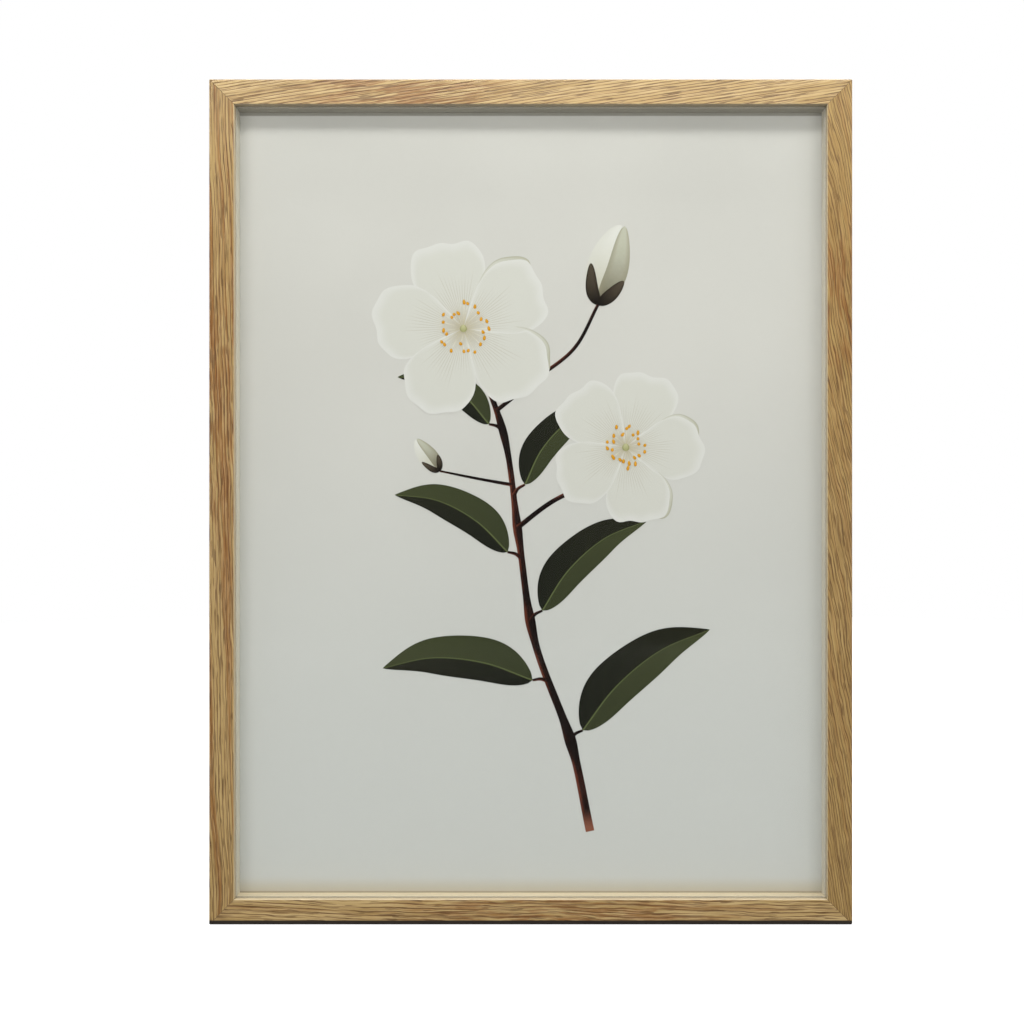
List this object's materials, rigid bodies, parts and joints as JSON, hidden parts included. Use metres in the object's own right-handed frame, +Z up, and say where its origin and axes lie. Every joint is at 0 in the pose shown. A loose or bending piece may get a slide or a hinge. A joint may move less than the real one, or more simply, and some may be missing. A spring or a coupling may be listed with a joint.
{
  "type": "picture frame",
  "caption": "Oak box frame, mitred, with clear glazing held off a botanical print by spacers, a board pack kept in by turn buttons, and D-ring hangers.",
  "frame": {"origin": "centre of the bottom of the whole box", "axes": "+Z up the frame, +X to the right seen from the front, the front faces -Y"},
  "size_m": [0.3186, 0.0228, 0.4185],
  "materials": {
    "oak": "light open-pore oak, matt oiled",
    "glazing": "clear low-reflection picture glass",
    "spacer": "pale grey matt extruded spacer",
    "print": "matt art paper with a printed botanical picture",
    "mount_board": "off-white conservation board",
    "barrier_board": "paper-faced foam board",
    "fibreboard": "raw medium-density fibreboard",
    "steel": "zinc-plated mild steel, dull bright",
    "felt": "dense dark grey felt"
  },
  "bodies": {
    "frame": {"bottom_rail": "oak", "top_rail": "oak", "left_stile": "oak", "right_stile": "oak", "glazing": "glazing", "bottom_spacer": "spacer", "top_spacer": "spacer", "left_spacer": "spacer", "right_spacer": "spacer", "art_print": "print", "mount_board": "mount_board", "barrier_board": "barrier_board", "backing_board": "fibreboard", "bottom_left_corner_wedge": "steel", "bottom_right_corner_wedge": "steel", "top_right_corner_wedge": "steel", "top_left_corner_wedge": "steel", "left_upper_button_screw": "steel", "left_lower_button_screw": "steel", "right_upper_button_screw": "steel", "right_lower_button_screw": "steel", "bottom_middle_button_screw": "steel", "top_middle_button_screw": "steel", "left_hanger_strap": "steel", "right_hanger_strap": "steel", "left_hanger_screw": "steel", "right_hanger_screw": "steel", "left_bumper": "felt", "right_bumper": "felt"},
    "left_upper_turn_button": {"left_upper_turn_button": "steel"},
    "left_lower_turn_button": {"left_lower_turn_button": "steel"},
    "right_upper_turn_button": {"right_upper_turn_button": "steel"},
    "right_lower_turn_button": {"right_lower_turn_button": "steel"},
    "bottom_middle_turn_button": {"bottom_middle_turn_button": "steel"},
    "top_middle_turn_button": {"top_middle_turn_button": "steel"},
    "left_d_ring": {"left_d_ring": "steel"},
    "right_d_ring": {"right_d_ring": "steel"}
  },
  "joints": [
    {"name": "left_upper_button_turn", "type": "hinge", "parent": "frame", "child": "left_upper_turn_button", "pos_m": [-0.15488, 0.00817, 0.33425], "axis": [0, 1, 0], "range_deg": [-90, 90]},
    {"name": "left_lower_button_turn", "type": "hinge", "parent": "frame", "child": "left_lower_turn_button", "pos_m": [-0.15488, 0.00817, 0.08425], "axis": [0, 1, 0], "range_deg": [-90, 90]},
    {"name": "right_upper_button_turn", "type": "hinge", "parent": "frame", "child": "right_upper_turn_button", "pos_m": [0.15488, 0.00817, 0.33425], "axis": [0, 1, 0], "range_deg": [-90, 90]},
    {"name": "right_lower_button_turn", "type": "hinge", "parent": "frame", "child": "right_lower_turn_button", "pos_m": [0.15488, 0.00817, 0.08425], "axis": [0, 1, 0], "range_deg": [-90, 90]},
    {"name": "bottom_middle_button_turn", "type": "hinge", "parent": "frame", "child": "bottom_middle_turn_button", "pos_m": [0, 0.00817, 0.00438], "axis": [0, 1, 0], "range_deg": [-90, 90]},
    {"name": "top_middle_button_turn", "type": "hinge", "parent": "frame", "child": "top_middle_turn_button", "pos_m": [0, 0.00817, 0.41413], "axis": [0, 1, 0], "range_deg": [-90, 90]},
    {"name": "left_ring_swing", "type": "hinge", "parent": "frame", "child": "left_d_ring", "pos_m": [-0.15365, 0.00953, 0.29], "axis": [1, 0, 0], "range_deg": [0, 180]},
    {"name": "right_ring_swing", "type": "hinge", "parent": "frame", "child": "right_d_ring", "pos_m": [0.15365, 0.00953, 0.29], "axis": [1, 0, 0], "range_deg": [0, 180]}
  ]
}
